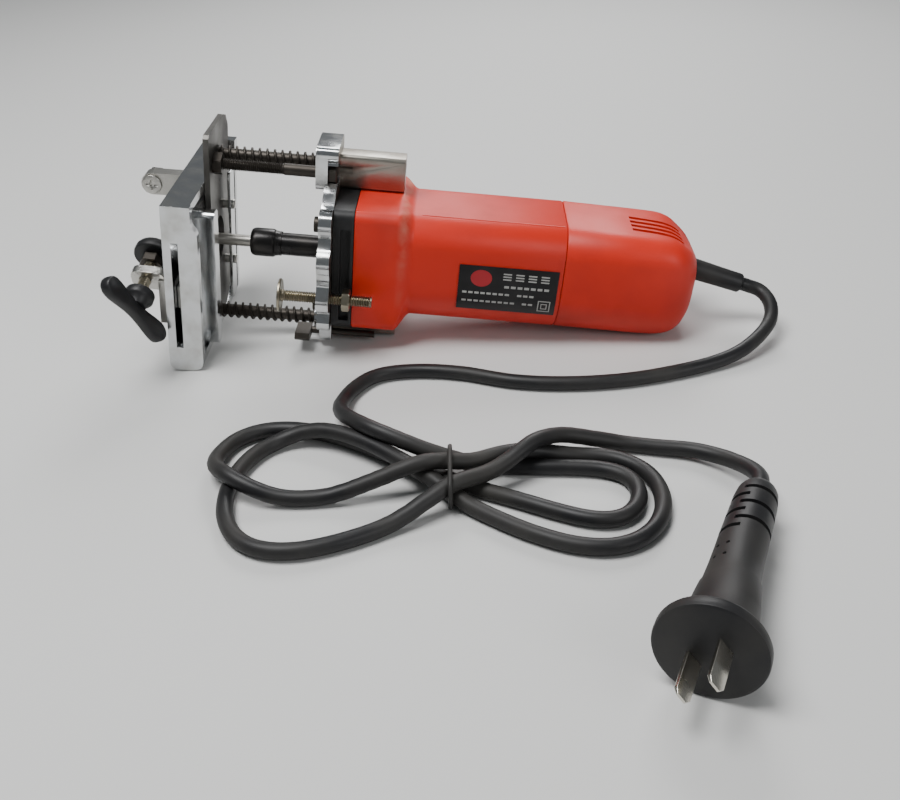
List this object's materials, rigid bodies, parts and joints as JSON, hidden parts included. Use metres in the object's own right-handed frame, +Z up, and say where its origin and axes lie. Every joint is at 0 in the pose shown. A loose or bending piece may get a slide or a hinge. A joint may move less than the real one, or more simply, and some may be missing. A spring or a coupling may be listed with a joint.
{
  "type": "plunge slot router",
  "caption": "Hand-held plunge slot router with a sprung two-post base, slotted side fence, profile clamp, depth stop and tied mains cord.",
  "frame": {"origin": "middle of the underside of the tool without its cord, on the surface it lies on", "axes": "+X along the tool from the bit towards the cord, +Y away from the slotted side fence, +Z up"},
  "size_m": [0.3352, 0.3353, 0.1116],
  "materials": {
    "motor_red": "satin injection-moulded nylon",
    "plastic_black": "satin black",
    "label": null,
    "chrome": "bright plate over a sand casting",
    "dark_steel": "oily black steel",
    "steel": "dull zinc steel",
    "brass": "plain",
    "nickel": "nickel plate",
    "copper": "plain copper",
    "carbon": "pressed carbon",
    "rubber": "black PVC"
  },
  "bodies": {
    "motor": {"motor_housing": "motor_red", "rear_cover": "motor_red", "front_flange": "plastic_black", "rating_label": "label", "head_casting": "chrome", "head_screw_1": "dark_steel", "head_screw_2": "dark_steel", "head_screw_3": "dark_steel", "head_screw_4": "dark_steel", "front_bearing": "steel", "rear_bearing": "steel", "bearing_bridge": "plastic_black", "stator_core": "steel", "brush_holder_upper": "brass", "brush_holder_lower": "brass", "carbon_brush_upper": "carbon", "carbon_brush_lower": "carbon", "switch_plate": "plastic_black", "cord_guard": "rubber", "return_spring_upper": "dark_steel", "return_spring_lower": "dark_steel", "cord_lead": "rubber", "cord_hank": "rubber", "cord_tail": "rubber", "cord_tie": "rubber", "plug_body": "rubber", "plug_blade_1": "nickel", "plug_blade_2": "nickel"},
    "spindle": {"spindle_shaft": "dark_steel", "collet_nut": "dark_steel", "collet": "steel", "router_bit": "steel", "armature_core": "steel", "cooling_fan": "plastic_black", "commutator": "copper"},
    "switch": {"switch_slider": "plastic_black"},
    "stop": {"stop_screw": "steel", "stop_lock_nut": "steel"},
    "lock": {"lock_lever": "dark_steel"},
    "base": {"base_plate": "steel", "base_casting": "chrome", "guide_post_upper": "dark_steel", "guide_post_lower": "dark_steel", "depth_bolt": "dark_steel", "depth_bolt_head": "dark_steel", "depth_bolt_nut": "dark_steel", "guard_strip": "chrome", "strip_spacer_1": "steel", "strip_spacer_2": "steel", "strip_screw_1": "steel", "strip_screw_2": "steel", "guide_arm": "chrome", "arm_screw": "steel", "arm_nut": "dark_steel"},
    "clamp": {"clamp_bracket": "steel", "clamp_plate": "steel"},
    "pad": {"clamp_pad": "rubber"},
    "wing": {"wing_knob": "plastic_black", "clamp_stud": "steel", "clamp_nut": "dark_steel"}
  },
  "joints": [
    {"name": "plunge", "type": "slide", "parent": "motor", "child": "base", "axis": [0.9943, -0.026, -0.1031], "range_m": [0, 0.026], "stiffness_N_per_m": 1200, "springref_m": -0.01, "deforming": ["return_spring_upper", "return_spring_lower"]},
    {"name": "spindle_turn", "type": "hinge", "parent": "motor", "child": "spindle", "pos_m": [-0.0689, 0.0109, 0.04653], "axis": [0.9943, -0.026, -0.1031], "continuous": true},
    {"name": "switch_slide", "type": "slide", "parent": "motor", "child": "switch", "axis": [0.9943, -0.026, -0.1031], "range_m": [0, 0.0065]},
    {"name": "stop_set", "type": "slide", "parent": "motor", "child": "stop", "axis": [0.9943, -0.026, -0.1031], "range_m": [-0.004, 0.014]},
    {"name": "lock_turn", "type": "hinge", "parent": "motor", "child": "lock", "pos_m": [-0.07342, -0.00949, 0.00814], "axis": [0.9943, -0.026, -0.1031], "range_deg": [-35, 0]},
    {"name": "clamp_slide", "type": "slide", "parent": "base", "child": "clamp", "axis": [0.1031, -0.0027, 0.9947], "range_m": [-0.008, 0.008]},
    {"name": "wing_turn", "type": "hinge", "parent": "pad", "child": "wing", "pos_m": [-0.14509, -0.01311, 0.05496], "axis": [-0.1111, -0.9233, -0.3676], "range_deg": [0, 540]},
    {"name": "pad_advance", "type": "slide", "parent": "clamp", "child": "pad", "axis": [-0.1111, -0.9233, -0.3676], "range_m": [0, 0.00151]}
  ],
  "couplings": [
    {"joint": "pad_advance", "follows": "wing_turn", "m_per_rad": 0.00015915}
  ]
}
